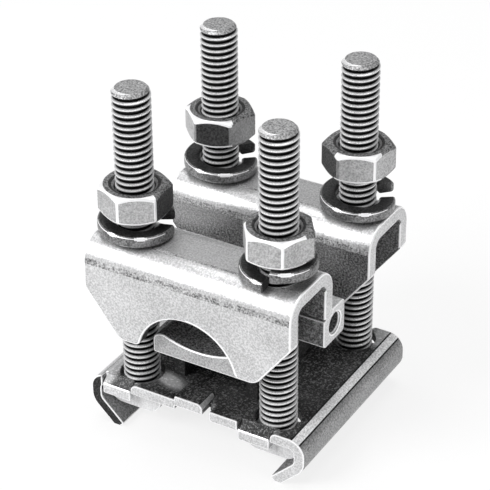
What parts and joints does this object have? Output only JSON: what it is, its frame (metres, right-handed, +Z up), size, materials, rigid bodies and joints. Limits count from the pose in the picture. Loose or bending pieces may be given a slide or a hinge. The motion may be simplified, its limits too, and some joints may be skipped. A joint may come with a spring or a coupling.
{
  "type": "busbar terminal",
  "caption": "Clamp terminal with a hooked base plate, studs, two arched saddles and a trough seat for joining a conductor to a busbar.",
  "frame": {"origin": "centre of the footprint, on the plane the hook lips stand on", "axes": "+Z up along the studs, +Y along the conductor from the front saddle to the back one, +X to the right along the saddles"},
  "size_m": [0.0652, 0.064, 0.1],
  "materials": {
    "base_steel": "bright zinc plate, brushed",
    "seat_steel": "bright zinc plate",
    "saddle_steel": "bright zinc plate, polished bends",
    "bolt_steel": "zinc plate, rolled thread",
    "nut_steel": "zinc plate",
    "spring_steel": "dark spring steel, plated"
  },
  "bodies": {
    "base": {"base_plate": "base_steel", "conductor_seat": "seat_steel", "bolt_front_left": "bolt_steel", "bolt_front_right": "bolt_steel", "bolt_back_left": "bolt_steel", "bolt_back_right": "bolt_steel"},
    "front_clamp": {"front_saddle": "saddle_steel", "front_ear_left": "saddle_steel", "front_ear_right": "saddle_steel", "spring_washer_front_left": "spring_steel", "spring_washer_front_right": "spring_steel"},
    "back_clamp": {"back_saddle": "saddle_steel", "spring_washer_back_left": "spring_steel", "spring_washer_back_right": "spring_steel"},
    "nut_front_left": {"nut_front_left": "nut_steel"},
    "nut_front_right": {"nut_front_right": "nut_steel"},
    "nut_back_left": {"nut_back_left": "nut_steel"},
    "nut_back_right": {"nut_back_right": "nut_steel"}
  },
  "joints": [
    {"name": "front_saddle_lift", "type": "slide", "parent": "base", "child": "front_clamp", "axis": [0, 0, 1], "range_m": [-0.01, 0]},
    {"name": "back_saddle_lift", "type": "slide", "parent": "base", "child": "back_clamp", "axis": [0, 0, 1], "range_m": [-0.001, 0.0044]},
    {"name": "nut_travel_front_left", "type": "slide", "parent": "base", "child": "nut_front_left", "axis": [0, 0, 1], "range_m": [0, 0.026]},
    {"name": "nut_travel_front_right", "type": "slide", "parent": "base", "child": "nut_front_right", "axis": [0, 0, 1], "range_m": [0, 0.026]},
    {"name": "nut_travel_back_left", "type": "slide", "parent": "base", "child": "nut_back_left", "axis": [0, 0, 1], "range_m": [-0.0044, 0.0235]},
    {"name": "nut_travel_back_right", "type": "slide", "parent": "base", "child": "nut_back_right", "axis": [0, 0, 1], "range_m": [-0.0052, 0.0225]}
  ]
}
